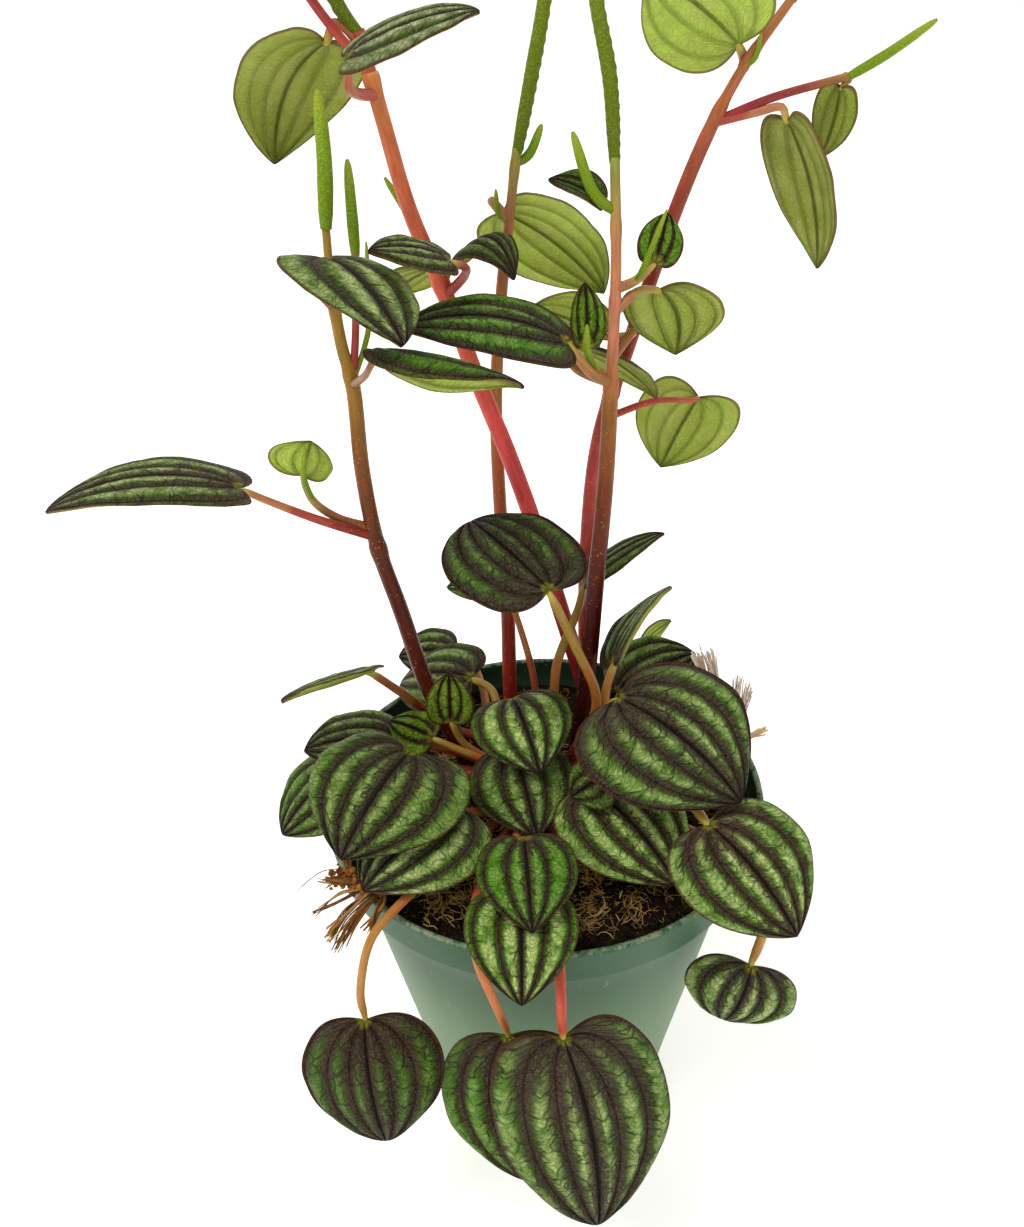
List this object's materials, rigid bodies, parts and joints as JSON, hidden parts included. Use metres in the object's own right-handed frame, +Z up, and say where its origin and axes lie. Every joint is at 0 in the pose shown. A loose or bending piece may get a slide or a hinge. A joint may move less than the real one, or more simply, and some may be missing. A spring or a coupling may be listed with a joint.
{
  "type": "potted peperomia",
  "caption": "Small peperomia with dark-ribbed heart-shaped leaves and red flowering stems, growing in a round tapered nursery pot filled with soil.",
  "frame": {"origin": "centre of the flat underside of the pot, on the surface that it stands on", "axes": "+Z up along the pot's axis; -Y is the front that the hanging leaves face; +X to the right seen from the front"},
  "size_m": [0.1824, 0.1377, 0.2751],
  "materials": {
    "pot_plastic": "satin",
    "soil": "matte",
    "coir": "matte",
    "root_fibre": "matte",
    "petiole": "satin",
    "stem": "satin",
    "leaf": "satin"
  },
  "bodies": {
    "root": {"pot": "pot_plastic", "potting_soil": "soil", "coir_husk": "coir", "root_fibre_tuft": "root_fibre", "crown_and_petioles": "petiole", "flowering_stem_1": "stem", "flowering_stem_2": "stem", "flowering_stem_3": "stem", "flowering_stem_4": "stem", "flowering_stem_5": "stem", "leaf_low_01": "leaf", "leaf_low_02": "leaf", "leaf_low_03": "leaf", "leaf_low_04": "leaf", "leaf_low_05": "leaf", "leaf_low_06": "leaf", "leaf_low_07": "leaf", "leaf_low_08": "leaf", "leaf_low_09": "leaf", "leaf_low_10": "leaf", "leaf_low_11": "leaf", "leaf_low_12": "leaf", "leaf_low_13": "leaf", "leaf_low_14": "leaf", "leaf_low_15": "leaf", "leaf_low_16": "leaf", "leaf_low_17": "leaf", "leaf_low_18": "leaf", "leaf_low_19": "leaf", "leaf_low_20": "leaf", "leaf_low_21": "leaf", "leaf_low_22": "leaf", "leaf_low_23": "leaf", "leaf_low_24": "leaf", "leaf_low_25": "leaf", "leaf_low_26": "leaf", "leaf_low_27": "leaf", "stem_1_leaf_1": "leaf", "stem_1_leaf_2": "leaf", "stem_1_leaf_3": "leaf", "stem_1_leaf_4": "leaf", "stem_2_leaf_1": "leaf", "stem_2_leaf_2": "leaf", "stem_2_leaf_3": "leaf", "stem_2_leaf_4": "leaf", "stem_2_leaf_5": "leaf", "stem_3_leaf_1": "leaf", "stem_4_leaf_1": "leaf", "stem_4_leaf_2": "leaf", "stem_4_leaf_3": "leaf", "stem_4_leaf_4": "leaf", "stem_4_leaf_5": "leaf", "stem_4_leaf_6": "leaf", "stem_4_leaf_7": "leaf", "stem_5_leaf_1": "leaf", "stem_5_leaf_2": "leaf", "stem_5_leaf_3": "leaf", "stem_5_leaf_4": "leaf"}
  },
  "joints": []
}
